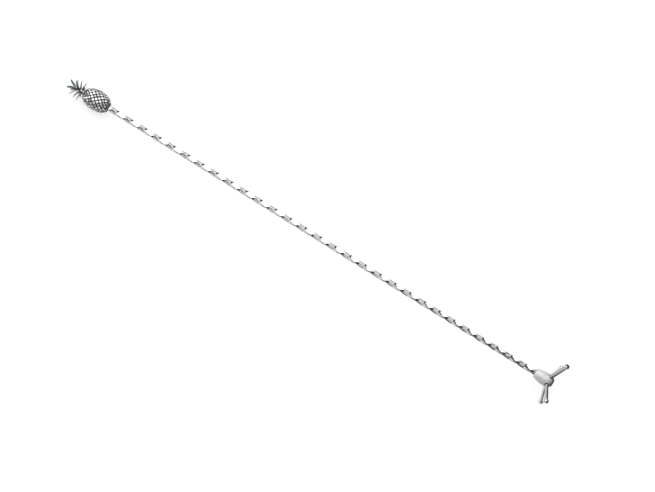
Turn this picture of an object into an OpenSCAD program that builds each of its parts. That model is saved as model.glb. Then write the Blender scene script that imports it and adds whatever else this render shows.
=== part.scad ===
// Drink stirrer with a pineapple finial and a four-prong swizzle head.
// The stirrer lies on a table as it comes to rest: on one eye of the
// pineapple and on the balls of the two lower prongs.
// Units are millimetres. X runs along the shaft from finial to head, Z is up.
//
// Pieces of the real object:
//   twisted_shaft      square rod twisted cold, with a turned spigot at each end
//   pineapple_finial   one casting, body with raised eyes and leaf crown
//   swizzle_hub        turned bell that holds the shaft and the prongs
//   swizzle_prong_1..4 pins with a ball end, pressed and brazed in the hub

/* [Shaft] */
// Length of the twisted rod that shows between finial and hub
shaft_length = 304.6; // [120:0.1:420]
// Side of the square rod
rod_side = 2.7; // [2.2:0.05:4]
// Radius of the rod's long edges
rod_edge_radius = 0.32; // [0.15:0.01:0.6]
// Length of one full turn of the twist
twist_pitch = 41.63; // [28:0.01:80]
// Turn of the rod's section at the finial
twist_start = 2.4; // [0:0.1:90]
// Steps of the twist in a quarter turn
twist_steps = 7; // [4:1:10]
// Diameter of the turned spigots
spigot_diameter = 2; // [1.2:0.05:2.6]
// Length of the spigot that goes into the hub
head_spigot_length = 5; // [3:0.1:6.5]
// Length of the spigot that goes into the finial
finial_spigot_length = 8; // [4:0.1:12]
// Clearance round a spigot, filled with braze
spigot_clearance = 0.03; // [0.01:0.01:0.1]
// Room left past the end of a spigot in its blind bore
spigot_end_gap = 0.25; // [0.05:0.05:0.5]

/* [Pineapple] */
// Length of the body without the crown
body_length = 17.8; // [13:0.1:26]
// Diameter of the body over the eyes
body_diameter = 13.3; // [10.5:0.1:20]
// Part of the full egg shape that is left after both ends are cut flat
body_cut = 0.951; // [0.9:0.001:0.98]
// Eyes in one ring round the body
eyes_around = 14; // [10:1:16]
// Rings of eyes along the body
eye_rows = 8; // [5:1:9]
// Height of an eye over the grooves
eye_height = 0.62; // [0.2:0.01:0.9]
// Depth of the pit in an eye
eye_pit = 0.3; // [0.05:0.01:0.45]

/* [Crown] */
// Reach of the crown past the body
crown_length = 11.4; // [7:0.1:18]
// Radius of the widest leaf tips
crown_radius = 6.8; // [4.5:0.1:7]
// Width of a leaf at its widest
leaf_width = 1.5; // [0.8:0.05:2.2]
// Thickness of a leaf at its root
leaf_thickness = 0.75; // [0.4:0.05:1.1]
// Radius of the stem that carries the leaves
stem_radius = 1.7; // [1:0.05:2.4]

/* [Hub] */
// Length of the hub along the shaft
hub_length = 12.6; // [11:0.1:18]
// Largest diameter of the hub
hub_diameter = 8.5; // [7.8:0.1:13]
// Distance from the rear face to the largest diameter
hub_bulge = 8.4; // [7:0.1:10]
// Diameter of the flat end of the nose
nose_diameter = 4.2; // [2.5:0.1:5.5]
// Radius that rounds the edge of the nose
nose_edge_radius = 0.7; // [0.3:0.05:1.1]
// Width of the flat land that meets the shaft
land = 0.12; // [0.05:0.01:0.4]
// Radius that rounds the rear edge of the hub
shoulder_radius = 0.6; // [0.3:0.05:1]

/* [Prongs] */
// Diameter of the pin
pin_diameter = 2.3; // [1.2:0.05:2.6]
// Diameter of the ball
ball_diameter = 3.1; // [2.5:0.05:5]
// Distance of a ball centre from the shaft's axis
prong_reach = 17.1; // [12:0.1:26]
// Angle between a pin and the shaft's axis
prong_angle = 73.5; // [58:0.5:85]
// Place along the hub where the pins' axes cross its largest radius
prong_root = 9.75; // [8:0.1:10.5]
// Radius at which the sockets end inside the hub
socket_floor_radius = 2; // [1.9:0.05:2.6]
// Clearance round a pin in its socket
pin_clearance = 0.02; // [0.01:0.01:0.08]
// Width of the bevel at a socket's mouth
socket_bevel = 0.22; // [0.05:0.01:0.4]

/* [Hidden] */
$fn = 64;

steel = [0.74, 0.75, 0.77];
cast_steel = [0.66, 0.68, 0.68];
satin_steel = [0.78, 0.78, 0.77];
bright_steel = [0.82, 0.83, 0.85];

prong_count = 4;
joint_overlap = rod_side / 5;
rod_envelope = (rod_side / 2 - rod_edge_radius) * sqrt(2) + rod_edge_radius;
land_radius = rod_envelope + land;

// Body of the pineapple: rows of points from the shaft's end to the crown
columns = 4 * eyes_around;
rows = 4 * eye_rows;
body_half = body_length / 2 / body_cut;
row_start = acos(body_cut);
max_radius = body_diameter / 2;

function row_angle(j) = row_start + (180 - 2 * row_start) * j / rows;
function row_x(j) = -body_length / 2 + body_half * cos(row_angle(j));
function row_radius(j) = max_radius * sin(row_angle(j));
function wrap(n, m) = n - m * floor(n / m);
// Steps from a grid point to the nearest eye centre: 0, 1 or 2
function steps_between(i, j) =
    min(wrap(i, 4), 4 - wrap(i, 4)) + min(wrap(j, 4), 4 - wrap(j, 4));
function eye_step(i, j) = min(steps_between(i, j), steps_between(i + 2, j + 2));
function eye_scale(j) = min(1, 1.15 * row_radius(j) / max_radius);
function eye_drop(i, j) =
    let (k = eye_step(i, j)) (k == 0 ? eye_pit : k == 1 ? 0 : eye_height) * eye_scale(j);
function end_row(j) = j == 0 || j == rows;
function body_radius(i, j) =
    j == 0 ? land_radius : row_radius(j) - (end_row(j) ? eye_height / 2 : eye_drop(i, j));
function column_angle(i) = 360 * i / columns;

// Rest: the eye and the ball that touch the table, in the axis frame
pin_slope = 1 / tan(prong_angle);
ball_radius = ball_diameter / 2;
ball_x = shaft_length + prong_root + (prong_reach - hub_diameter / 2) * pin_slope;
ball_down = prong_reach * cos(180 / prong_count);
rough_tilt = atan((ball_down + ball_radius - max_radius) / (ball_x + body_length / 2));
reach_down = [
    for (j = [1:rows - 1])
        for (i = [-2:2])
            body_radius(i, j) * cos(column_angle(i)) * cos(rough_tilt) - row_x(j) * sin(rough_tilt)
];
deepest = max(reach_down);
touching = [
    for (j = [1:rows - 1])
        for (i = [-2:2])
            if (reach_down[(j - 1) * 5 + i + 2] > deepest - 0.0001)
                [row_x(j), body_radius(i, j) * cos(column_angle(i))]
];
touch_x = touching[0][0];
touch_down = touching[0][1];
run = ball_x - touch_x;
rise = ball_down - touch_down;
tilt = atan(rise / run) + asin(ball_radius / sqrt(run * run + rise * rise));
lift = touch_down * cos(tilt) - touch_x * sin(tilt);

// Leaves: whorl = [leaves, first azimuth from the top, root, tip reach, tip radius, arch]
whorls = [
    [6, 30, 0.08, 0.13, 1.0, 0.46],
    [5, 0, 0.16, 0.36, 0.95, 0.5],
    [5, 36, 0.28, 0.62, 0.82, 0.42],
    [4, 45, 0.42, 1.0, 0.62, 0.3]
];
last_whorl = whorls[len(whorls) - 1];
tip_z = crown_radius * last_whorl[4] * cos(last_whorl[1]);
x_low = -(body_length + crown_length) * cos(tilt) - tip_z * sin(tilt);
x_high = ball_x * cos(tilt) + ball_down * sin(tilt) + ball_radius;
x_mid = (x_low + x_high) / 2;

twisted_shaft();
pineapple_finial();
swizzle_hub();
swizzle_prong(0);  // swizzle_prong_1
swizzle_prong(1);  // swizzle_prong_2
swizzle_prong(2);  // swizzle_prong_3
swizzle_prong(3);  // swizzle_prong_4

// Moves the stirrer from its axis frame to where it rests on the table
module at_rest() {
    translate([-x_mid, 0, lift])
        rotate([0, -tilt, 0])
            children();
}

// Turns a solid built along Z into one along X
module along_x() {
    rotate([0, 90, 0])
        children();
}

module twisted_shaft() {
    twist_turns = shaft_length / twist_pitch;
    slices = ceil(twist_turns * 4 * twist_steps);
    color(steel)
        at_rest()
            union() {
                along_x()
                    linear_extrude(height = shaft_length, twist = -360 * twist_turns, slices = slices, $fn = 0)
                        rotate(twist_start)
                            rod_section();
                translate([-finial_spigot_length, 0, 0])
                    along_x()
                        cylinder(h = finial_spigot_length + joint_overlap, d = spigot_diameter);
                translate([shaft_length - joint_overlap, 0, 0])
                    along_x()
                        cylinder(h = head_spigot_length + joint_overlap, d = spigot_diameter);
            }
}

// Square with rounded corners, three points to a corner
module rod_section() {
    c = rod_side / 2 - rod_edge_radius;
    polygon([
        for (q = [0:3])
            for (a = [0, 45, 90])
                [
                    rod_corner(q, c)[0] + rod_edge_radius * cos(90 * q + a),
                    rod_corner(q, c)[1] + rod_edge_radius * sin(90 * q + a)
                ]
    ]);
}

function rod_corner(q, c) = c * sqrt(2) * [cos(90 * q + 45), sin(90 * q + 45)];

module pineapple_finial() {
    color(cast_steel)
        at_rest()
            difference() {
                union() {
                    pineapple_body();
                    crown();
                }
                translate([-finial_spigot_length - spigot_end_gap, 0, 0])
                    along_x()
                        cylinder(
                            h = finial_spigot_length + spigot_end_gap + joint_overlap,
                            d = spigot_diameter + 2 * spigot_clearance
                        );
            }
}

// One closed skin over a grid of points, with a flat cap at each end
module pineapple_body() {
    points = [
        for (j = [0:rows])
            for (i = [0:columns - 1])
                [
                    row_x(j),
                    body_radius(i, j) * sin(column_angle(i)),
                    -body_radius(i, j) * cos(column_angle(i))
                ]
    ];
    skin = [
        for (j = [0:rows - 1])
            for (i = [0:columns - 1])
                for (half = [0, 1])
                    body_facet(i, j, half)
    ];
    first_cap = [for (i = [columns - 1:-1:0]) i];
    last_cap = [for (i = [0:columns - 1]) rows * columns + i];
    polyhedron(points = points, faces = concat(skin, [first_cap], [last_cap]));
}

function grid_point(i, j) = j * columns + wrap(i, columns);

// The diagonal of a grid square runs along the rims of the eyes
function body_facet(i, j, half) =
    let (
        a = grid_point(i, j),
        b = grid_point(i + 1, j),
        c = grid_point(i + 1, j + 1),
        d = grid_point(i, j + 1)
    )
    wrap(i + j, 2) == 0
        ? (half == 0 ? [a, b, d] : [b, c, d])
        : (half == 0 ? [a, b, c] : [a, c, d]);

module crown() {
    stem_length = crown_length * 0.5;
    translate([-body_length - stem_length, 0, 0])
        along_x()
            cylinder(h = stem_length + stem_radius, r1 = stem_radius * 0.45, r2 = stem_radius);
    for (w = whorls)
        for (i = [0:w[0] - 1])
            rotate([w[1] + 360 * i / w[0], 0, 0])
                leaf(w[2] * crown_length, w[3] * crown_length, w[4] * crown_radius, w[5]);
}

// Stations along a leaf: place on the curve, half width, half thickness
leaf_stations = [
    [0, 0.55, 1],
    [0.25, 0.85, 0.95],
    [0.5, 1, 0.8],
    [0.72, 0.78, 0.6],
    [0.9, 0.4, 0.4]
];

function curve(a, b, c, t) = (1 - t) * (1 - t) * a + 2 * t * (1 - t) * b + t * t * c;
function slope(a, b, c, t) = (1 - t) * (b - a) + t * (c - b);

// A pointed leaf that leaves the stem forward and arches outward, drawn
// in the plane of X and Z with its keel below
module leaf(root, tip, reach, arch) {
    p0 = [-body_length - root, stem_radius * 0.2];
    p2 = [-body_length - tip, reach];
    p1 = [
        -body_length - root - (tip - root) * 0.5 - arch * crown_length * 0.26,
        reach * 0.42
    ];
    ring = [
        for (s = leaf_stations)
            let (
                m = curve(p0, p1, p2, s[0]),
                v = slope(p0, p1, p2, s[0]),
                n = [-v[1], v[0]] / norm(v),
                w = leaf_width / 2 * s[1],
                h = leaf_thickness / 2 * s[2]
            )
            for (q = [[1, 0], [0, 1], [-1, 0], [0, -1]])
                [m[0] + n[0] * h * q[1], w * q[0], m[1] + n[1] * h * q[1]]
    ];
    last = len(ring);
    sides = [
        for (k = [0:len(leaf_stations) - 2])
            for (q = [0:3])
                for (half = [0, 1])
                    leaf_facet(k * 4, q, half)
    ];
    point = [for (q = [0:3]) [last - 4 + wrap(q + 1, 4), last - 4 + q, last]];
    polyhedron(
        points = concat(ring, [[p2[0], 0, p2[1]]]),
        faces = concat([[0, 1, 2, 3]], sides, point)
    );
}

function leaf_facet(k, q, half) =
    let (
        a = k + q,
        b = k + wrap(q + 1, 4),
        c = b + 4,
        d = a + 4
    )
    half == 0 ? [a, c, b] : [a, d, c];

module swizzle_hub() {
    color(satin_steel)
        at_rest()
            translate([shaft_length, 0, 0])
                difference() {
                    along_x()
                        rotate_extrude($fn = 128)
                            hub_profile();
                    translate([-joint_overlap, 0, 0])
                        along_x()
                            cylinder(
                                h = head_spigot_length + spigot_end_gap + joint_overlap,
                                d = spigot_diameter + 2 * spigot_clearance
                            );
                    for (i = [0:prong_count - 1])
                        on_pin_axis(i)
                            socket();
                }
}

// Radius of the arc that runs from the largest diameter into a rounded edge
function bell_radius(run, fall, edge) =
    (run * run + fall * fall - edge * edge) / 2 / (fall - edge);

// Half outline of the hub: radius to the right, length upward. Two long arcs
// meet at the largest diameter, and each runs smoothly into a rounded edge.
module hub_profile() {
    top = hub_diameter / 2;
    nose = nose_diameter / 2;
    rear_run = hub_bulge - shoulder_radius;
    rear = bell_radius(rear_run, top - land_radius, shoulder_radius);
    rear_turn = asin(rear_run / (rear - shoulder_radius));
    front_run = hub_length - nose_edge_radius - hub_bulge;
    front = bell_radius(front_run, top - nose, nose_edge_radius);
    front_turn = asin(front_run / (front - nose_edge_radius));
    polygon(concat(
        [[0, 0]],
        [
            for (k = [0:6])
                let (a = (90 - rear_turn) * k / 6)
                [
                    land_radius + shoulder_radius * sin(a),
                    shoulder_radius * (1 - cos(a))
                ]
        ],
        [
            for (k = [1:14])
                let (a = rear_turn * (1 - k / 14))
                [top - rear + rear * cos(a), hub_bulge - rear * sin(a)]
        ],
        [
            for (k = [1:10])
                let (a = front_turn * k / 10)
                [top - front + front * cos(a), hub_bulge + front * sin(a)]
        ],
        [
            for (k = [1:6])
                let (a = front_turn + (90 - front_turn) * k / 6)
                [
                    nose + nose_edge_radius * cos(a),
                    hub_length - nose_edge_radius * (1 - sin(a))
                ]
        ],
        [[0, hub_length]]
    ));
}

// Frame of a prong: origin where the pin's axis crosses the hub's largest
// radius, Z outward along the pin
module on_pin_axis(i) {
    rotate([180 / prong_count + 360 * i / prong_count, 0, 0])
        translate([prong_root, 0, hub_diameter / 2])
            rotate([0, 90 - prong_angle, 0])
                children();
}

module socket() {
    depth = (hub_diameter / 2 - socket_floor_radius) / sin(prong_angle);
    hole = pin_diameter + 2 * pin_clearance;
    translate([0, 0, -depth])
        cylinder(h = depth + pin_diameter, d = hole, $fn = 48);
    translate([0, 0, -socket_bevel])
        cylinder(h = pin_diameter, d1 = hole, d2 = hole + pin_diameter * 2, $fn = 48);
}

module swizzle_prong(i) {
    depth = (hub_diameter / 2 - socket_floor_radius) / sin(prong_angle);
    length = (prong_reach - hub_diameter / 2) / sin(prong_angle);
    color(bright_steel)
        at_rest()
            translate([shaft_length, 0, 0])
                on_pin_axis(i)
                    union() {
                        translate([0, 0, -depth])
                            cylinder(h = depth + length, d = pin_diameter, $fn = 48);
                        translate([0, 0, length])
                            sphere(d = ball_diameter, $fn = 48);
                    }
}
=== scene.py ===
import bmesh
import bpy
import math
import random
from mathutils import Matrix, Vector


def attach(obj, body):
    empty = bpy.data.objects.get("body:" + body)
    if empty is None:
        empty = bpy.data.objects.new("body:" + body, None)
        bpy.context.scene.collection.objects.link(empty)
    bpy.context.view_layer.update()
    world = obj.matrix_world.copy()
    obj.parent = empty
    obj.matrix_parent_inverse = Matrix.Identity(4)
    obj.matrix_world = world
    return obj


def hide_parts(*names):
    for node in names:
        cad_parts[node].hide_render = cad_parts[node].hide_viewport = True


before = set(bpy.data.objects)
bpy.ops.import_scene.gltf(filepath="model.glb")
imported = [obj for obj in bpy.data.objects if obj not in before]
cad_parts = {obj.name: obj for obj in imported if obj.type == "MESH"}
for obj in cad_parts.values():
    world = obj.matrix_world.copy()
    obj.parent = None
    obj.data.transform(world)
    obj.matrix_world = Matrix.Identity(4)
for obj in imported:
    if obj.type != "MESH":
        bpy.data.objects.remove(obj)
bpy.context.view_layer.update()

# The shaft. A square stainless rod, twisted cold to the right by a little over
# seven turns, not quite evenly. Its long edges are slightly rounded, and both
# ends are turned down to spigots that are brazed into their mates.
shaft_length = 0.3046
rod_side = 0.0027
rod_edge_radius = 0.00032
twist_pitch = 0.04163
twist_start = math.radians(2.4)
twist_uneven = math.radians(12)
twist_ahead = math.radians(3)
spigot_radius = 0.001
spigot_chamfer = 0.00025
spigot_seat = 0.0004
finial_spigot = 0.008
head_spigot = 0.005

# Each piece is modelled along X and then laid on the table as the stirrer
# comes to rest: on one eye of the pineapple and the balls of two prongs.
touch_x, touch_down = -0.009634, 0.0066295
ball_x, ball_down, ball_radius = 0.318156, 0.0120915, 0.00155
run, rise = ball_x - touch_x, ball_down - touch_down
tilt = math.atan(rise / run) + math.asin(ball_radius / math.hypot(run, rise))
lift = touch_down * math.cos(tilt) - touch_x * math.sin(tilt)
middle_x = 0.145318
at_rest = Matrix.Translation((-middle_x, 0, lift)) @ Matrix.Rotation(-tilt, 4, "Y")


def start_edit(piece):
    bpy.ops.object.select_all(action="DESELECT")
    piece.select_set(True)
    bpy.context.view_layer.objects.active = piece
    bpy.ops.object.mode_set(mode="EDIT")
    bpy.ops.mesh.select_mode(type="VERT")
    bpy.ops.mesh.select_all(action="DESELECT")


def pick(piece, part, test):
    """Selects the vertices, edges or faces that pass the test, and no others."""
    bpy.ops.mesh.select_mode(type={"verts": "VERT", "edges": "EDGE", "faces": "FACE"}[part])
    bpy.ops.mesh.select_all(action="DESELECT")
    mesh = bmesh.from_edit_mesh(piece.data)
    for element in getattr(mesh, part):
        if test(element):
            element.select_set(True)
    mesh.select_flush_mode()
    bmesh.update_edit_mesh(piece.data)


def end_edit():
    bpy.ops.object.mode_set(mode="OBJECT")


def shade_smooth(piece, degrees):
    """Shades a piece smooth, except over edges that turn more than this."""
    bpy.ops.object.select_all(action="DESELECT")
    piece.select_set(True)
    bpy.ops.object.shade_smooth_by_angle(angle=math.radians(degrees))


def apply_modifier(piece, kind, **settings):
    bpy.ops.object.select_all(action="DESELECT")
    piece.select_set(True)
    bpy.context.view_layer.objects.active = piece
    modifier = piece.modifiers.new(kind.lower(), kind)
    for name, value in settings.items():
        setattr(modifier, name, value)
    bpy.ops.object.modifier_apply(modifier=modifier.name)


def join_pieces(pieces, name):
    bpy.ops.object.select_all(action="DESELECT")
    for piece in pieces:
        piece.select_set(True)
    bpy.context.view_layer.objects.active = pieces[0]
    if len(pieces) > 1:
        bpy.ops.object.join()
    pieces[0].name = name
    pieces[0].data.name = name
    return pieces[0]


def lay_down(piece, node):
    """Puts a finished piece in its place on the table, in its mesh."""
    piece.data.transform(at_rest)
    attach(piece, "root")
    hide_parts(node)


bpy.ops.object.select_all(action="DESELECT")
bpy.ops.mesh.primitive_cube_add(size=1, location=(shaft_length / 2, 0, 0))
shaft = bpy.context.object
shaft.scale = (shaft_length, rod_side, rod_side)
bpy.ops.object.transform_apply(location=True, rotation=True, scale=True)
start_edit(shaft)
pick(shaft, "edges", lambda e: abs(e.verts[0].co.x - e.verts[1].co.x) > shaft_length / 2)
bpy.ops.mesh.bevel(offset=rod_edge_radius, segments=5, profile=0.5, affect="EDGES")
half_flat = rod_side / 2 - rod_edge_radius
# Cuts along each face keep it true under the twist, and two rounds of cuts
# across give 529 slices, so that the twist runs smoothly
for share in (-0.6, -0.2, 0.2, 0.6):
    for normal in ((0, 1, 0), (0, 0, 1)):
        bpy.ops.mesh.select_all(action="SELECT")
        bpy.ops.mesh.bisect(plane_co=Vector(normal) * half_flat * share, plane_no=normal)
for _ in range(2):
    pick(shaft, "edges", lambda e: abs((e.verts[0].co - e.verts[1].co).normalized().x) > 0.99)
    bpy.ops.mesh.subdivide(number_cuts=22)
end_edit()
straight = shaft.data.attributes.new("straight", "FLOAT_VECTOR", "POINT")
for vertex in shaft.data.vertices:
    straight.data[vertex.index].vector = vertex.co
for vertex in shaft.data.vertices:
    phase = 2 * math.pi * vertex.co.x / shaft_length
    turn = twist_start + 2 * math.pi * vertex.co.x / twist_pitch
    turn += twist_uneven * math.sin(phase) + twist_ahead * (1 - math.cos(phase))
    vertex.co.rotate(Matrix.Rotation(turn, 3, "X"))
spigots = []
for start, end in (
    (-finial_spigot, spigot_seat), (shaft_length - spigot_seat, shaft_length + head_spigot),
):
    bpy.ops.mesh.primitive_cylinder_add(
        vertices=32, radius=spigot_radius, depth=end - start,
        location=((start + end) / 2, 0, 0), rotation=(0, math.pi / 2, 0),
    )
    spigot = bpy.context.object
    bpy.ops.object.transform_apply(location=True, rotation=True, scale=True)
    start_edit(spigot)
    free_end = start if start < 0 else end
    pick(spigot, "edges", lambda e: all(abs(v.co.x - free_end) < 1e-5 for v in e.verts))
    bpy.ops.mesh.bevel(offset=spigot_chamfer, segments=2, affect="EDGES")
    end_edit()
    spigots.append(spigot)
shaft = join_pieces([shaft] + spigots, "shaft")
shade_smooth(shaft, degrees=35)

# What every steel surface here shares: fine marks from drawing, turning or
# polishing. They change the roughness, and they dull and scratch the metal a
# little, finest across the marks and drawn out along them.
marks = bpy.data.node_groups.new("steel marks", "ShaderNodeTree")
mark_depth = 0.00002
for name, kind in (
    ("Place", "NodeSocketVector"), ("Along", "NodeSocketFloat"), ("Across", "NodeSocketFloat"),
    ("Bright", "NodeSocketColor"), ("Dull", "NodeSocketColor"),
    ("Smooth", "NodeSocketFloat"), ("Rough", "NodeSocketFloat"),
):
    marks.interface.new_socket(name, in_out="INPUT", socket_type=kind)
for name, kind in (
    ("Color", "NodeSocketColor"), ("Roughness", "NodeSocketFloat"), ("Height", "NodeSocketFloat"),
):
    marks.interface.new_socket(name, in_out="OUTPUT", socket_type=kind)


def add_node(tree, kind, **settings):
    """Adds a node. Each setting is one of its inputs, or else a property."""
    node = tree.nodes.new(kind)
    for name, value in settings.items():
        if name in node.inputs:
            node.inputs[name].default_value = value
        else:
            setattr(node, name, value)
    return node


marks_in = add_node(marks, "NodeGroupInput")
marks_out = add_node(marks, "NodeGroupOutput")
stretch = add_node(marks, "ShaderNodeCombineXYZ")
marks.links.new(marks_in.outputs["Along"], stretch.inputs["X"])
marks.links.new(marks_in.outputs["Across"], stretch.inputs["Y"])
marks.links.new(marks_in.outputs["Across"], stretch.inputs["Z"])
drawn = add_node(marks, "ShaderNodeVectorMath", operation="MULTIPLY")
marks.links.new(marks_in.outputs["Place"], drawn.inputs[0])
marks.links.new(stretch.outputs[0], drawn.inputs[1])
grain = add_node(marks, "ShaderNodeTexNoise", Scale=1.0, Detail=3.0, Roughness=0.6)
marks.links.new(drawn.outputs[0], grain.inputs["Vector"])
cloud = add_node(marks, "ShaderNodeTexNoise", Scale=420.0, Detail=4.0, Roughness=0.55)
marks.links.new(marks_in.outputs["Place"], cloud.inputs["Vector"])
wear = add_node(marks, "ShaderNodeMapRange")
wear.inputs["From Min"].default_value = 0.35
wear.inputs["From Max"].default_value = 0.7
marks.links.new(cloud.outputs["Fac"], wear.inputs["Value"])
both = add_node(marks, "ShaderNodeMath", operation="MULTIPLY")
marks.links.new(grain.outputs["Fac"], both.inputs[0])
marks.links.new(wear.outputs[0], both.inputs[1])
tone = add_node(marks, "ShaderNodeMix", data_type="RGBA")
marks.links.new(both.outputs[0], tone.inputs["Factor"])
marks.links.new(marks_in.outputs["Bright"], tone.inputs["A"])
marks.links.new(marks_in.outputs["Dull"], tone.inputs["B"])
polish = add_node(marks, "ShaderNodeMapRange")
marks.links.new(both.outputs[0], polish.inputs["Value"])
polish.inputs["From Max"].default_value = 0.6
marks.links.new(marks_in.outputs["Smooth"], polish.inputs["To Min"])
marks.links.new(marks_in.outputs["Rough"], polish.inputs["To Max"])
for name, source in (
    ("Color", tone.outputs["Result"]), ("Roughness", polish.outputs[0]), ("Height", grain.outputs["Fac"]),
):
    marks.links.new(source, marks_out.inputs[name])


def steel(name, bright, dull, smooth, rough, along, across, bump, rim=0.25, place=None):
    """A steel finish: the material, its tree, its Principled shader and its marks.

    Rim is how much light the metal still returns at a grazing angle. Place names
    the stored positions that the marks follow, or else they follow the object.
    """
    material = bpy.data.materials.new(name)
    material.use_nodes = True
    tree = material.node_tree
    shader = tree.nodes["Principled BSDF"]
    shader.inputs["Metallic"].default_value = 1.0
    shader.inputs["Specular Tint"].default_value = (rim, rim, rim, 1)
    effect = add_node(tree, "ShaderNodeGroup", node_tree=marks)
    for key, value in (
        ("Along", along), ("Across", across), ("Bright", (*bright, 1)),
        ("Dull", (*dull, 1)), ("Smooth", smooth), ("Rough", rough),
    ):
        effect.inputs[key].default_value = value
    if place:
        where = add_node(tree, "ShaderNodeAttribute", attribute_name=place)
        tree.links.new(where.outputs["Vector"], effect.inputs["Place"])
    else:
        where = add_node(tree, "ShaderNodeTexCoord")
        tree.links.new(where.outputs["Object"], effect.inputs["Place"])
    relief = add_node(tree, "ShaderNodeBump", Strength=bump, Distance=mark_depth)
    tree.links.new(effect.outputs["Height"], relief.inputs["Height"])
    tree.links.new(relief.outputs[0], shader.inputs["Normal"])
    tree.links.new(effect.outputs["Color"], shader.inputs["Base Color"])
    tree.links.new(effect.outputs["Roughness"], shader.inputs["Roughness"])
    return material, tree, shader, effect


def finish(piece, material):
    piece.data.materials.clear()
    piece.data.materials.append(material)


drawn_steel = steel(
    "drawn steel", bright=(0.59, 0.59, 0.595), dull=(0.45, 0.45, 0.455),
    smooth=0.06, rough=0.14, along=90, across=3200, bump=0.2, place="straight",
)[0]
finish(shaft, drawn_steel)
lay_down(shaft, "twisted_shaft")

# The finial's body. A stainless casting, egg-shaped, covered by raised eyes in
# crossing spirals, each with a small pit. The eyes are buffed unevenly, and the
# grooves between them are painted near-black, as painted shade in the recesses
# along with a dark patina.
body_length = 0.0178
body_radius = 0.00665
body_half = 0.009359
eyes_around = 14
eye_height = 0.00062
rings = 20
row_step = math.pi / rings
groove_depth = 0.00058
ground_radius = body_radius - groove_depth
first_ring, last_ring = 3, 17
eye_length = 0.0025
row_tolerance = 0.0003
end_tolerance = 0.0004
# Each step of an eye: its inset as a share of the eye's width, its rise, its crease
eye_steps = (
    (0.035, 0.0, 0.5), (0.045, 0.00042, 0.4), (0.06, 0.00014, 0.1),
    (0.13, 0.00005, 0.0), (0.05, -0.00012, 0.1),
)
eye_foot = 0.3
eye_sink, eye_spread, eye_lean = 0.00011, 0.00007, 0.00034
buff_levels = (0.4, 0.65, 0.9, 1.1, 1.3)
dark_below, buffed_above = 0.05, 0.62
shade_and_dull_tone = 0.015
groove_roughness = 0.6
bpy.ops.object.select_all(action="DESELECT")
bpy.ops.mesh.primitive_uv_sphere_add(segments=2 * eyes_around, ring_count=rings, radius=1)
body = bpy.context.object
body.data.transform(Matrix.Rotation(math.pi / 2, 4, "Y"))
body.scale = (body_half, ground_radius, ground_radius)
body.location = (-body_length / 2, 0, 0)
bpy.ops.object.transform_apply(location=True, rotation=True, scale=True)


def grid_place(vertex):
    """The ring and the column of a vertex of the body's first mesh."""
    x = (vertex.co.x + body_length / 2) / body_half
    around = math.atan2(vertex.co.y, -vertex.co.z) / math.pi
    return math.acos(max(-1, min(1, x))) / row_step, around * eyes_around


def amid_eye(vertex):
    """Whether a vertex of the first mesh lies at the middle of an eye."""
    ring, column = grid_place(vertex)
    near = abs(ring - round(ring)) < 0.3 and abs(column - round(column)) < 0.3
    inside = first_ring - 0.5 < ring < last_ring + 0.5
    return near and inside and (round(ring) + round(column)) % 2 == 0


# The globe's squares are split along their diagonals, and then every second
# crossing is dissolved, which leaves a diamond round each of them: an eye
start_edit(body)
pick(body, "verts", lambda v: not first_ring - 1.5 < grid_place(v)[0] < last_ring + 1.5)
bpy.ops.mesh.delete(type="VERT")
pick(body, "verts", lambda v: (round(grid_place(v)[0]) + round(grid_place(v)[1])) % 2 == 1)
bpy.ops.mesh.vert_connect()
pick(body, "verts", amid_eye)
bpy.ops.mesh.dissolve_verts()
bpy.ops.mesh.select_all(action="SELECT")
bpy.ops.mesh.subdivide(number_cuts=1)
pick(body, "verts", amid_eye)
bpy.ops.mesh.dissolve_verts()
for ring in range(first_ring, last_ring + 1):
    row = -body_length / 2 + body_half * math.cos(ring * row_step)
    wide = 2 * math.pi * ground_radius * math.sin(ring * row_step) / eyes_around
    share_of_rise = min(1.0, 1.25 * math.sin(ring * row_step))
    pick(body, "faces", lambda f: len(f.verts) == 8 and f.calc_area() > 0.3 * wide * eye_length
         and abs(sum(v.co.x for v in f.verts) / 8 - row) < row_tolerance)
    for inset, step_up, crease in eye_steps:
        bpy.ops.mesh.inset(thickness=inset * wide, use_individual=True)
        bpy.ops.transform.shrink_fatten(value=step_up * share_of_rise)
        bpy.ops.transform.edge_crease(value=crease)
end_edit()
# Both ends are open where rings were left out, and are closed in two steps
for end in (-1, 1):
    start_edit(body)
    farthest = max(end * v.co.x for v in body.data.vertices)
    pick(body, "edges", lambda e: e.is_boundary and end * e.verts[0].co.x > farthest - end_tolerance)
    for shrink in (0.92, 0.6):
        bpy.ops.mesh.extrude_edges_move()
        bpy.ops.transform.resize(value=(1, shrink, shrink), center_override=(end * farthest, 0, 0))
    bpy.ops.mesh.edge_face_add()
    end_edit()
apply_modifier(body, "SUBSURF", levels=1, render_levels=1)
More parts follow.
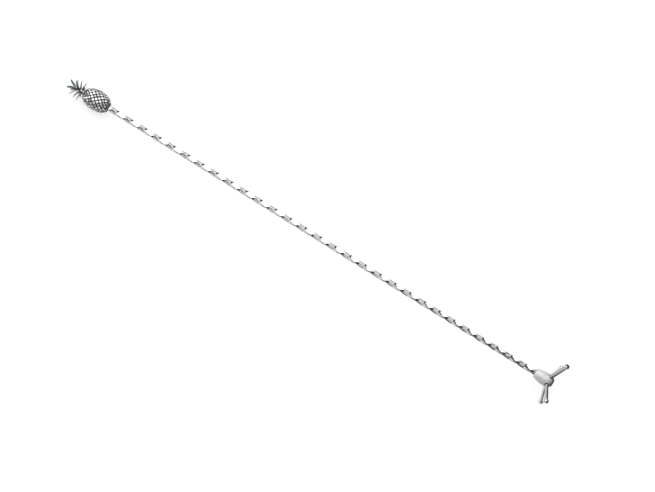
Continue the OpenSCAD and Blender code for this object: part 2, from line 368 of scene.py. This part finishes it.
# The eyes' looks are drawn in a fixed order: how low each sits, how it tips
# and rolls over, and how well it is buffed
random.seed(9)
looks_of_eye = {}
for ring in range(1, rings):
    for column in range(ring % 2, 2 * eyes_around, 2):
        low, tip, roll_over = (random.uniform(-1, 1) for _ in range(3))
        looks_of_eye[ring, column] = low, tip, roll_over, random.choice(buff_levels)
raised = body.data.attributes.new("raised", "FLOAT", "POINT")
for vertex in body.data.vertices:
    x, y, z = vertex.co
    reach = math.hypot((x + body_length / 2) / body_half, math.hypot(y, z) / ground_radius)
    height = (reach - 1) * ground_radius / eye_height
    raised.data[vertex.index].value = height
    if height > eye_foot:
        ring, column = grid_place(vertex)
        corner_ring, corner_column = math.floor(ring), math.floor(column)
        eye = min(
            ((i, j) for i in (corner_ring, corner_ring + 1) for j in (corner_column, corner_column + 1)
             if (i + j) % 2 == 0),
            key=lambda e: abs(e[0] - ring) + abs(e[1] - column),
        )
        low, tip, roll_over, buffed = looks_of_eye[eye[0], eye[1] % (2 * eyes_around)]
        raised.data[vertex.index].value = height * buffed
        leaning = tip * (ring - eye[0]) + roll_over * (column - eye[1])
        move = -eye_sink + eye_spread * low + eye_lean * leaning
        vertex.co += Vector((0, y, z)).normalized() * move * min(1, height)
cast_steel, tree, shader, effect = steel(
    "cast steel", bright=(0.84, 0.84, 0.84), dull=(0.62, 0.62, 0.62),
    smooth=0.07, rough=0.18, along=900, across=900, bump=0.15,
)
# The grooves are painted near-black by how little each point stands above the ground: painted shade in
# the recesses, along with dark patina. The less buffed eyes take a little of the same dark.
buffed_part = add_node(tree, "ShaderNodeAttribute", attribute_name="raised")
groove = add_node(tree, "ShaderNodeMapRange")
groove.inputs["From Min"].default_value = dark_below
groove.inputs["From Max"].default_value = buffed_above
tree.links.new(buffed_part.outputs["Fac"], groove.inputs["Value"])
shade_and_dull = add_node(tree, "ShaderNodeMix", data_type="RGBA")
shade_and_dull.inputs["A"].default_value = (shade_and_dull_tone, shade_and_dull_tone, shade_and_dull_tone, 1)
tree.links.new(groove.outputs[0], shade_and_dull.inputs["Factor"])
tree.links.new(effect.outputs["Color"], shade_and_dull.inputs["B"])
tree.links.new(shade_and_dull.outputs["Result"], shader.inputs["Base Color"])
rough_groove = add_node(tree, "ShaderNodeMix")
rough_groove.inputs["A"].default_value = groove_roughness
tree.links.new(groove.outputs[0], rough_groove.inputs["Factor"])
tree.links.new(effect.outputs["Roughness"], rough_groove.inputs["B"])
tree.links.new(rough_groove.outputs[0], shader.inputs["Roughness"])
finish(body, cast_steel)

# The crown. It is cast in one with the body: four whorls of narrow pointed
# leaves round a tapered stem, the lowest spread flat and each one above it
# steeper. Each leaf has a shallow channel and curls outward to its point.
crown_length = 0.0114
crown_radius = 0.0068
leaf_width = 0.0017
leaf_thickness = 0.0006
leaf_root = 0.06
leaf_root_width = 0.55
# The leaf's width, as a share of its widest, at shares of its length
leaf_widths = (
    (0.2, 0.85), (0.4, 1.0), (0.58, 0.95), (0.75, 0.72), (0.88, 0.52), (0.97, 0.28), (1.0, 0.06),
)
channel_from, channel_half_width, channel_flatness = 0.2, 0.12, 0.15
leaf_seat = 0.0006
leaf_shortest = 0.93
leaf_sway = 4
stem_length = 0.0085
stem_middle = 0.0028
stem_root_radius, stem_tip_radius = 0.0019, 0.0006
bpy.ops.object.select_all(action="DESELECT")
bpy.ops.mesh.primitive_cone_add(
    vertices=24, radius1=stem_root_radius, radius2=stem_tip_radius, depth=stem_length,
    location=(-body_length - stem_middle, 0, 0), rotation=(0, -math.pi / 2, 0),
)
stem = bpy.context.object
bpy.ops.object.transform_apply(location=True, rotation=True, scale=True)

# Each whorl: its leaves, the first one's azimuth in degrees, root and tip as
# shares of the crown's length, reach as a share of its radius, curl in radians
whorls = (
    (6, 30, 0.08, 0.13, 1.0, 0.95), (5, 0, 0.2, 0.4, 0.98, 0.8),
    (5, 36, 0.36, 0.7, 0.86, 0.7), (4, 45, 0.52, 1.0, 0.55, 0.5),
)
random.seed(4)
leaves = []
for count, first, root, tip, reach, curl in whorls:
    leaf_start = Vector((-body_length - root * crown_length, 0, leaf_seat))
    leaf_end = Vector((-body_length - tip * crown_length, 0, reach * crown_radius))
    chord = leaf_end - leaf_start
    length = chord.length * (curl / 2) / math.sin(curl / 2)
    bpy.ops.object.select_all(action="DESELECT")
    reach_x = length * leaf_root
    wide = leaf_root_width
    bpy.ops.mesh.primitive_cylinder_add(
        vertices=8, radius=leaf_width / 2, depth=reach_x,
        location=(reach_x / 2, 0, 0), rotation=(0, math.pi / 2, 0),
    )
    leaf = bpy.context.object
    bpy.ops.object.transform_apply(location=True, rotation=True, scale=True)
    start_edit(leaf)
    pick(leaf, "verts", lambda v: True)
    bpy.ops.transform.resize(value=(1, wide, leaf_thickness / leaf_width), center_override=(0, 0, 0))
    for share, width in leaf_widths:
        step = share * length - reach_x
        pick(leaf, "faces", lambda f: f.calc_center_median().x > reach_x - 1e-6)
        bpy.ops.mesh.extrude_region_move(TRANSFORM_OT_translate={"value": (step, 0, 0)})
        bpy.ops.transform.resize(
            value=(1, width / wide, (width / wide) ** 0.75), center_override=(share * length, 0, 0),
        )
        reach_x = share * length
        wide = width
    pick(leaf, "verts", lambda v: v.co.z > leaf_thickness * channel_from
         and abs(v.co.y) < leaf_width * channel_half_width)
    bpy.ops.transform.resize(value=(1, 1, channel_flatness), center_override=(0, 0, 0))
    end_edit()
    bend = length / curl
    for vertex in leaf.data.vertices:
        turn = vertex.co.x / bend
        out = bend + vertex.co.z
        vertex.co = Vector((math.sin(turn) * out, vertex.co.y, math.cos(turn) * out - bend))
    apply_modifier(leaf, "SUBSURF", levels=1, render_levels=1)
    lean = math.atan2(chord.z, -chord.x)
    for i in range(count):
        copy = leaf if i == count - 1 else leaf.copy()
        if copy is not leaf:
            copy.data = leaf.data.copy()
            bpy.context.scene.collection.objects.link(copy)
        size = random.uniform(leaf_shortest, 1.0)
        nod = math.radians(random.uniform(-leaf_sway, leaf_sway))
        swing = math.radians(random.uniform(-leaf_sway, leaf_sway))
        copy.data.transform(
            Matrix.Rotation(math.radians(first + 360 * i / count) + swing, 4, "X")
            @ Matrix.Translation(leaf_start)
            @ Matrix.Rotation(lean - math.pi - curl / 2 + nod, 4, "Y")
            @ Matrix.Diagonal((size, 1, 1, 1))
        )
        leaves.append(copy)
crown = join_pieces([stem] + leaves, "crown")
crown_steel = steel(
    "crown steel", bright=(0.29, 0.325, 0.315), dull=(0.15, 0.175, 0.17),
    smooth=0.2, rough=0.4, along=700, across=900, bump=0.25,
)[0]
finish(crown, crown_steel)
pineapple = join_pieces([body, crown], "pineapple")
shade_smooth(pineapple, degrees=50)
lay_down(pineapple, "pineapple_finial")

# The head's hub. A bell turned from stainless bar and left satin, with a
# polished nose. Four slanted sockets near its front take the prongs, and their
# insides are painted near-black: painted shade in the sockets.
hub_length = 0.0126
hub_radius = 0.00425
hub_bulge = 0.0084
land_step = 0.00012
land_radius = half_flat * math.sqrt(2) + rod_edge_radius + land_step
shoulder_radius = 0.0012
prong_root = 0.00975
prong_angle = math.radians(73.5)
pin_radius = 0.00115
socket_floor = 0.002
socket_gap = 0.00002
socket_ring = 0.00035
ring_floor = 0.0034
shade_near, shade_core, shade_skin = 0.0025, 0.001, 0.00008
polished_from = prong_root + pin_radius + 0.00045
nose_radius = 0.0021
nose_edge = 0.0007


def turned(name, outline, steps):
    """Spins an outline of (x, radius) points round the X axis."""
    bpy.ops.object.select_all(action="DESELECT")
    bpy.ops.mesh.primitive_plane_add(size=0.001)
    piece = bpy.context.object
    piece.name = name
    start_edit(piece)
    pick(piece, "verts", lambda v: True)
    bpy.ops.mesh.merge(type="CENTER")
    bpy.ops.transform.translate(value=(outline[0][0], 0, outline[0][1]))
    for (x0, r0), (x1, r1) in zip(outline, outline[1:]):
        bpy.ops.mesh.extrude_vertices_move(TRANSFORM_OT_translate={"value": (x1 - x0, 0, r1 - r0)})
    bpy.ops.mesh.select_all(action="SELECT")
    bpy.ops.mesh.spin(steps=steps, angle=2 * math.pi, center=(0, 0, 0), axis=(1, 0, 0))
    bpy.ops.mesh.select_all(action="SELECT")
    bpy.ops.mesh.remove_doubles(threshold=1e-6)
    bpy.ops.mesh.normals_make_consistent(inside=False)
    end_edit()
    return piece


def arc(middle, radius, start, end, steps):
    """The points of an arc of an outline after its first, by angles from X."""
    points = []
    for step in range(1, steps + 1):
        angle = start + (end - start) * step / steps
        points.append((middle[0] + radius * math.cos(angle), middle[1] + radius * math.sin(angle)))
    return points


rear_run = hub_bulge - shoulder_radius
fall = hub_radius - land_radius
rear = (rear_run ** 2 + fall ** 2 - shoulder_radius ** 2) / 2 / (fall - shoulder_radius)
rear_turn = math.asin(rear_run / (rear - shoulder_radius))
front_run = hub_length - nose_edge - hub_bulge
fall = hub_radius - nose_radius
front = (front_run ** 2 + fall ** 2 - nose_edge ** 2) / 2 / (fall - nose_edge)
front_turn = math.asin(front_run / (front - nose_edge))
outward = math.pi / 2
outline = [(0.0, 0.0), (0.0, land_radius)]
outline += arc((shoulder_radius, land_radius), shoulder_radius, math.pi, outward + rear_turn, steps=8)
outline += arc((hub_bulge, hub_radius - rear), rear, outward + rear_turn, outward, steps=28)
outline += arc((hub_bulge, hub_radius - front), front, outward, outward - front_turn, steps=16)
outline += arc((hub_length - nose_edge, nose_radius), nose_edge, outward - front_turn, 0, steps=8)
outline.append((hub_length, 0.0))
hub = turned("hub", outline, steps=96)
hub.data.transform(Matrix.Translation((shaft_length, 0, 0)))
to_prong = [
    Matrix.Translation((shaft_length, 0, 0)) @ Matrix.Rotation(math.radians(45 + 90 * i), 4, "X")
    @ Matrix.Translation((prong_root, 0, hub_radius)) @ Matrix.Rotation(math.pi / 2 - prong_angle, 4, "Y")
    for i in range(4)
]
drill_length = 0.006
for radius, floor_at in ((pin_radius + socket_gap, socket_floor), (pin_radius + socket_ring, ring_floor)):
    drills = []
    sunk = (hub_radius - floor_at) / math.sin(prong_angle)
    for prong_place in to_prong:
        bpy.ops.object.select_all(action="DESELECT")
        bpy.ops.mesh.primitive_cylinder_add(vertices=48, radius=radius, depth=drill_length)
        drill = bpy.context.object
        drill.data.transform(prong_place @ Matrix.Translation((0, 0, drill_length / 2 - sunk)))
        drills.append(drill)
    drill = join_pieces(drills, "socket drills")
    apply_modifier(hub, "BOOLEAN", object=drill, operation="DIFFERENCE", solver="EXACT")
    bpy.data.objects.remove(drill)
shade_smooth(hub, degrees=30)
satin_steel = steel(
    "satin steel", bright=(0.71, 0.71, 0.72), dull=(0.6, 0.6, 0.61),
    smooth=0.7, rough=0.85, along=2600, across=120, bump=0.3, rim=1.0,
)[0]
polished_steel = steel(
    "polished steel", bright=(0.66, 0.66, 0.665), dull=(0.54, 0.54, 0.545),
    smooth=0.04, rough=0.1, along=300, across=2600, bump=0.1, rim=0.65,
)[0]
# Near-black steel for the inside of the sockets: painted shade.
socket_shade_steel = steel(
    "socket shade steel", bright=(0.06, 0.055, 0.05), dull=(0.03, 0.03, 0.03),
    smooth=0.5, rough=0.7, along=900, across=900, bump=0.2,
)[0]
finish(hub, satin_steel)
hub.data.materials.append(polished_steel)
hub.data.materials.append(socket_shade_steel)
# Faces inside the hub's skin near the sockets get the painted shade.
for face in hub.data.polygons:
    x, y, z = face.center
    x -= shaft_length
    curve = rear if x < hub_bulge else front
    skin = hub_radius - curve + math.sqrt(curve ** 2 - (x - hub_bulge) ** 2)
    if x > polished_from:
        face.material_index = 1
    elif abs(x - prong_root) < shade_near and shade_core < math.hypot(y, z) < skin - shade_skin:
        face.material_index = 2
lay_down(hub, "swizzle_hub")

# The prongs. Four straight polished pins, each with a ball formed on its end
# and its shank brazed into a socket of the hub. They lean forward and stand
# in a cross.
prong_reach = 0.0171
pin_length = (prong_reach - hub_radius) / math.sin(prong_angle)
pin_depth = (hub_radius - socket_floor) / math.sin(prong_angle)
neck = 0.0003
root_chamfer = 0.00008
neck_back = math.sqrt((ball_radius + neck) ** 2 - (pin_radius + neck) ** 2)
neck_turn = math.acos(neck_back / (ball_radius + neck))
straight_end = pin_length - neck_back
outline = [
    (-pin_depth, 0.0), (-pin_depth, pin_radius - root_chamfer), (-pin_depth + root_chamfer, pin_radius),
]
outline += [(-pin_depth + (straight_end + pin_depth) * part / 8, pin_radius) for part in range(1, 9)]
outline += arc((straight_end, pin_radius + neck), neck, -outward, -neck_turn, steps=5)
outline += arc((pin_length, 0), ball_radius, math.pi - neck_turn, 0, steps=22)
for number, prong_place in enumerate(to_prong, 1):
    prong = turned("prong_%d" % number, outline, steps=48)
    shade_smooth(prong, degrees=40)
    finish(prong, polished_steel)
    prong.data.transform(prong_place @ Matrix.Rotation(-math.pi / 2, 4, "Y"))
    lay_down(prong, "swizzle_prong_%d" % number)

# The table and the studio. A white table top under an even pale sky, one large
# slanted soft box beyond the stirrer, and black cards round it that draw the
# dark lines in the steel.
above = Vector((0, 0, 1))
table_tone, table_glow = 0.35, 0.6
card_tone = 0.12
sky_strength = 0.86

bpy.ops.object.select_all(action="DESELECT")
bpy.ops.mesh.primitive_plane_add(size=4)
floor = bpy.context.object
floor.name = "table_top"
table = bpy.data.materials.new("white table")
table.use_nodes = True
tree = table.node_tree
tree.nodes.clear()
paint = add_node(tree, "ShaderNodeBsdfDiffuse", Color=(table_tone, table_tone, table_tone, 1))
glow = add_node(tree, "ShaderNodeEmission", Color=(1, 1, 1, 1))
seen = add_node(tree, "ShaderNodeLightPath")
shows = seen.outputs["Is Camera Ray"]
for ray in ("Is Glossy Ray", "Is Transmission Ray"):
    either = add_node(tree, "ShaderNodeMath", operation="MAXIMUM")
    tree.links.new(shows, either.inputs[0])
    tree.links.new(seen.outputs[ray], either.inputs[1])
    shows = either.outputs[0]
strength = add_node(tree, "ShaderNodeMath", operation="MULTIPLY")
strength.inputs[1].default_value = table_glow
tree.links.new(shows, strength.inputs[0])
tree.links.new(strength.outputs[0], glow.inputs["Strength"])
total = add_node(tree, "ShaderNodeAddShader")
tree.links.new(paint.outputs[0], total.inputs[0])
tree.links.new(glow.outputs[0], total.inputs[1])
surface = add_node(tree, "ShaderNodeOutputMaterial")
tree.links.new(total.outputs[0], surface.inputs["Surface"])
finish(floor, table)

box_turn = math.radians(49.7)
box_height, box_setback, box_fall = 1.04, 0.073, 0.533
box_right = Vector((math.cos(box_turn), math.sin(box_turn), 0))
box_away = Vector((-math.sin(box_turn), math.cos(box_turn), 0))
box_top = above * box_height - box_away * box_setback
box_slant = box_away - above * box_fall
box_left, box_end, box_radiance = -0.57, 1.1, 1.8
light = bpy.data.lights.new("soft box", "AREA")
light.shape = "RECTANGLE"
light.size, light.size_y = box_end - box_left, box_slant.length
light.energy = box_radiance * math.pi * light.size * light.size_y
soft_box = bpy.data.objects.new("soft box", light)
bpy.context.scene.collection.objects.link(soft_box)
box_back = box_right.cross(box_slant).normalized()
soft_box.matrix_world = Matrix.Translation(
    box_top + box_slant / 2 + box_right * (box_left + box_end) / 2
) @ Matrix((box_right, box_back.cross(box_right), box_back)).transposed().to_4x4()
soft_box.visible_camera = False

black = bpy.data.materials.new("black card")
black.use_nodes = True
shader = black.node_tree.nodes["Principled BSDF"]
shader.inputs["Base Color"].default_value = (card_tone, card_tone, card_tone, 1)
shader.inputs["Roughness"].default_value = 0.9
low_edge = box_top + box_slant
# Each card: its name, one corner and its two sides
for name, corner, side, drop in (
    ("over", box_top + box_right * box_left, box_right * 1.7, box_away * -0.442),
    ("under", low_edge * 1.001 + box_right * 0.5, box_right * 1.0, Vector((0, 0, -low_edge.z))),
    ("near", Vector((-1.5, -1.3, 0)), Vector((1.75, 0, 0)), Vector((0, 0, 0.06))),
    ("flag", Vector((0.279, 0.27, 0)), Vector((-0.153, 0.475, 0)), Vector((0, 0, 0.514))),
    ("right", Vector((0.32, -1.4, 0)), Vector((0, 2.0, 0)), Vector((0, 0, 1.2))),
    ("left", Vector((-0.39, -1.4, 0.16)), Vector((0, 1.0, 0)), Vector((0, 0, 1.04))),
    ("head_near", Vector((0.125, -0.06, 0.02)), Vector((0.044, 0, 0)), Vector((0, 0, 0.012))),
    ("head_low", Vector((0.13, -0.002, 0.003)), Vector((0.026, 0, 0)), Vector((0, 0.02, 0))),
    ("head_gap", Vector((0.1675, 0.0142, 0.0115)), Vector((0.033, 0, 0)), Vector((0, 0, 0.034))),
    ("head_right", Vector((0.18, -0.03, 0.006)), Vector((0, 0.06, 0)), Vector((0, 0, 0.034))),
):
    bpy.ops.object.select_all(action="DESELECT")
    bpy.ops.mesh.primitive_plane_add(size=1)
    card = bpy.context.object
    card.name = "card_" + name
    card.data.transform(
        Matrix.Translation(corner + (side + drop) / 2)
        @ Matrix((side, drop, side.cross(drop).normalized())).transposed().to_4x4()
    )
    finish(card, black)
    card.visible_camera = card.visible_diffuse = card.visible_shadow = False

world = bpy.data.worlds.new("studio")
bpy.context.scene.world = world
world.use_nodes = True
sky = world.node_tree.nodes["Background"]
sky.inputs["Color"].default_value = (1, 1, 1, 1)
sky.inputs["Strength"].default_value = sky_strength

distance = 1.5
pixels_per_mm = 1.6457
picture_width = 655
roll, lean_back, lean_side = math.radians(32.015), math.radians(3.736), math.radians(-3.334)
aim_right, aim_away, aim_up = 0.00929, -0.00714, 0.01
right = Vector((math.cos(roll), math.sin(roll), 0))
away = Vector((-math.sin(roll), math.cos(roll), 0))
target = right * aim_right + away * aim_away + above * aim_up
back = above * math.cos(lean_back) - away * math.sin(lean_back)
back = back * math.cos(lean_side) + right * math.sin(lean_side)
across = (right - back * right.dot(back)).normalized()
up = back.cross(across)
camera_data = bpy.data.cameras.new("camera")
camera_data.sensor_width = 36
camera_data.lens = pixels_per_mm * distance * 1000 / picture_width * camera_data.sensor_width
camera = bpy.data.objects.new("camera", camera_data)
bpy.context.scene.collection.objects.link(camera)
facing = Matrix((across, up, back)).transposed().to_4x4()
camera.matrix_world = Matrix.Translation(target + back * distance) @ facing
bpy.context.scene.camera = camera
bpy.context.scene.view_settings.view_transform = "Standard"
